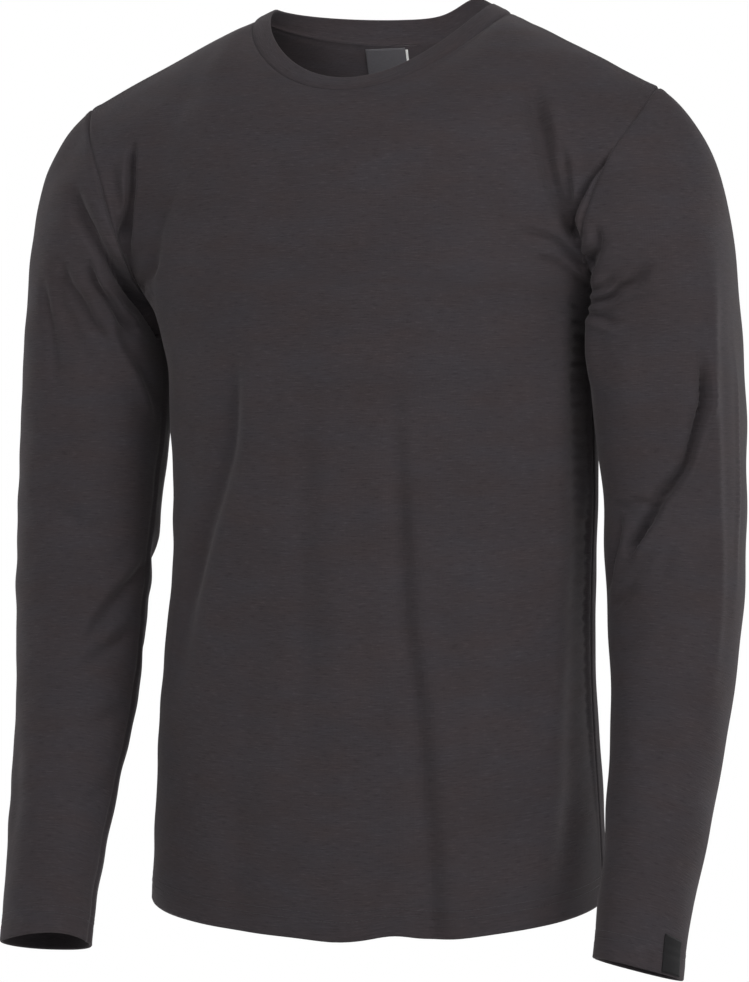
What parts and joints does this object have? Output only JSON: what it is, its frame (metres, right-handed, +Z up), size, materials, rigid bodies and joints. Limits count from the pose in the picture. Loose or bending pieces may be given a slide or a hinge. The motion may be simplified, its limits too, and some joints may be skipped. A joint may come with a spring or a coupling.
{
  "type": "base layer top",
  "caption": "Long-sleeved crew-neck base layer top in fine knit, kept in the hollow form of being worn, with open neck, hem and cuffs.",
  "frame": {"origin": "middle of the neck opening at the height of the high shoulder points, where the wearer's shoulders hold the top up", "axes": "+Z up, front of the garment towards -Y, the wearer's left towards +X"},
  "size_m": [0.5854, 0.2418, 0.7367],
  "materials": {
    "knit": "matt charcoal fine jersey",
    "band_knit": "matt charcoal fine jersey, doubled",
    "neck_label": "satin woven label, slate grey",
    "care_label": "white woven tape",
    "cuff_label": "black woven label"
  },
  "bodies": {
    "root": {"front": "knit", "back": "knit", "sleeve_left": "knit", "sleeve_right": "knit", "neckband": "band_knit", "neck_label": "neck_label", "care_label": "care_label", "cuff_label": "cuff_label"}
  },
  "joints": []
}
